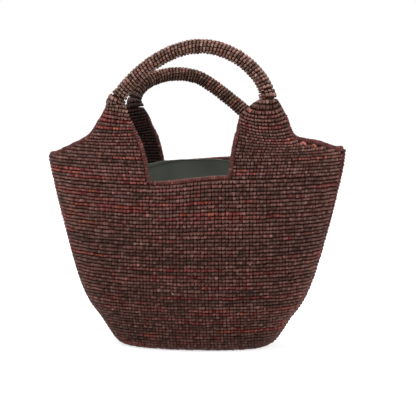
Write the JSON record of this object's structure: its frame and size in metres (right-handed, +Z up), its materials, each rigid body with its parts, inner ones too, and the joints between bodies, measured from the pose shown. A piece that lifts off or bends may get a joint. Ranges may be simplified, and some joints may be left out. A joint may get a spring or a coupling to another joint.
{
  "type": "basket handbag",
  "caption": "Crocheted raffia basket handbag: bowl-shaped body, cut-outs at front and back, tabs narrowing to round necks, folding roped handles and a satin lining.",
  "frame": {"origin": "on the floor under the middle of the oval base", "axes": "+X to the right as the front is seen, -Y to the front, +Z up"},
  "size_m": [0.3757, 0.2189, 0.3905],
  "materials": {
    "raffia_body": "matt crocheted raffia",
    "raffia_tab": "matt crocheted raffia",
    "raffia_edging": "matt slip-stitched raffia",
    "raffia_base": "matt crocheted raffia",
    "raffia_handle": "matt crocheted raffia",
    "rope_core": "matt twisted plant fibre",
    "lining_satin": "smooth satin"
  },
  "bodies": {
    "bag": {"base_panel": "raffia_base", "front_panel": "raffia_body", "back_panel": "raffia_body", "left_side_seam": "raffia_edging", "right_side_seam": "raffia_edging", "front_left_tab": "raffia_tab", "front_right_tab": "raffia_tab", "back_left_tab": "raffia_tab", "back_right_tab": "raffia_tab", "front_cutout_edging": "raffia_edging", "back_cutout_edging": "raffia_edging", "left_rim_edging": "raffia_edging", "right_rim_edging": "raffia_edging", "lining_front": "lining_satin", "lining_back": "lining_satin", "lining_base": "lining_satin"},
    "front_handle": {"front_handle_sleeve": "raffia_handle", "front_handle_core": "rope_core"},
    "back_handle": {"back_handle_sleeve": "raffia_handle", "back_handle_core": "rope_core"}
  },
  "joints": [
    {"name": "front_handle_fold", "type": "hinge", "parent": "bag", "child": "front_handle", "pos_m": [-0.09139, -0.0688, 0.311], "axis": [0.999, -0.0106, 0.0424], "range_deg": [-22, 108]},
    {"name": "back_handle_fold", "type": "hinge", "parent": "bag", "child": "back_handle", "pos_m": [0.07413, 0.11258, 0.26053], "axis": [-0.938, -0.2207, 0.2672], "range_deg": [-70, 60]}
  ]
}
